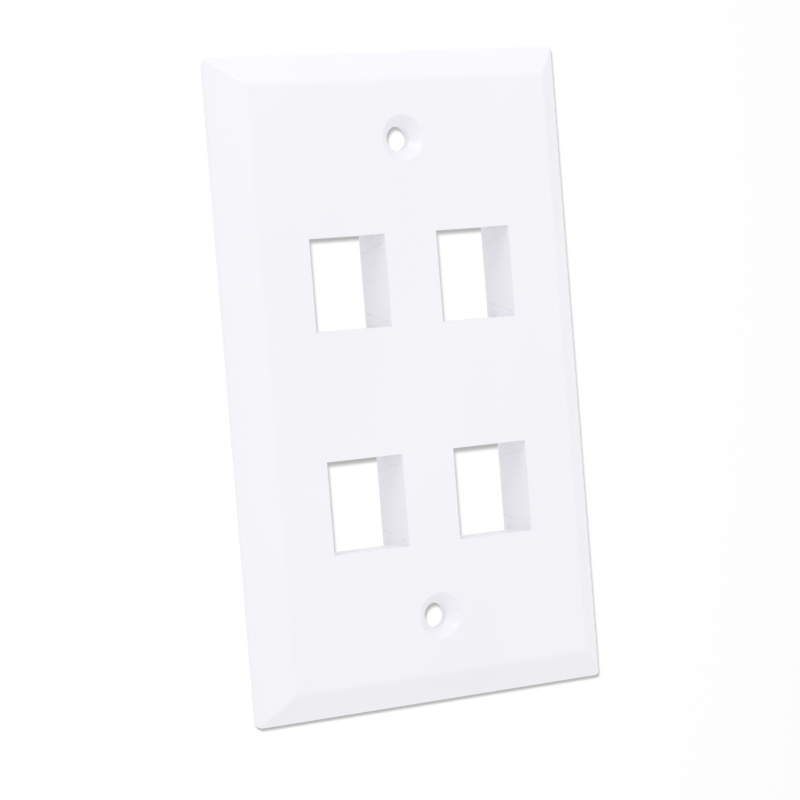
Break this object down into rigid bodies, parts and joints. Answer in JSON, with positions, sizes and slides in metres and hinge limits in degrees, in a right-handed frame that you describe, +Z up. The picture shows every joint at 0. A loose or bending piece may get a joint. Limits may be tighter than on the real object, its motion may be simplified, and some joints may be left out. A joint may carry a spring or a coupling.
{
  "type": "keystone faceplate",
  "caption": "Single-gang wall faceplate moulded in one piece, with square openings that keystone jacks snap into and countersunk holes for its screws.",
  "frame": {"origin": "on the wall plane, midway between the two screw holes, at the middle of the plate's outline", "axes": "+Z up on the wall, +Y from the front face into the wall, +X to the right as seen from the front"},
  "size_m": [0.0698, 0.0093, 0.1142],
  "materials": {
    "white_plastic": "satin moulded white, slightly cool"
  },
  "bodies": {
    "root": {"faceplate": "white_plastic"}
  },
  "joints": []
}
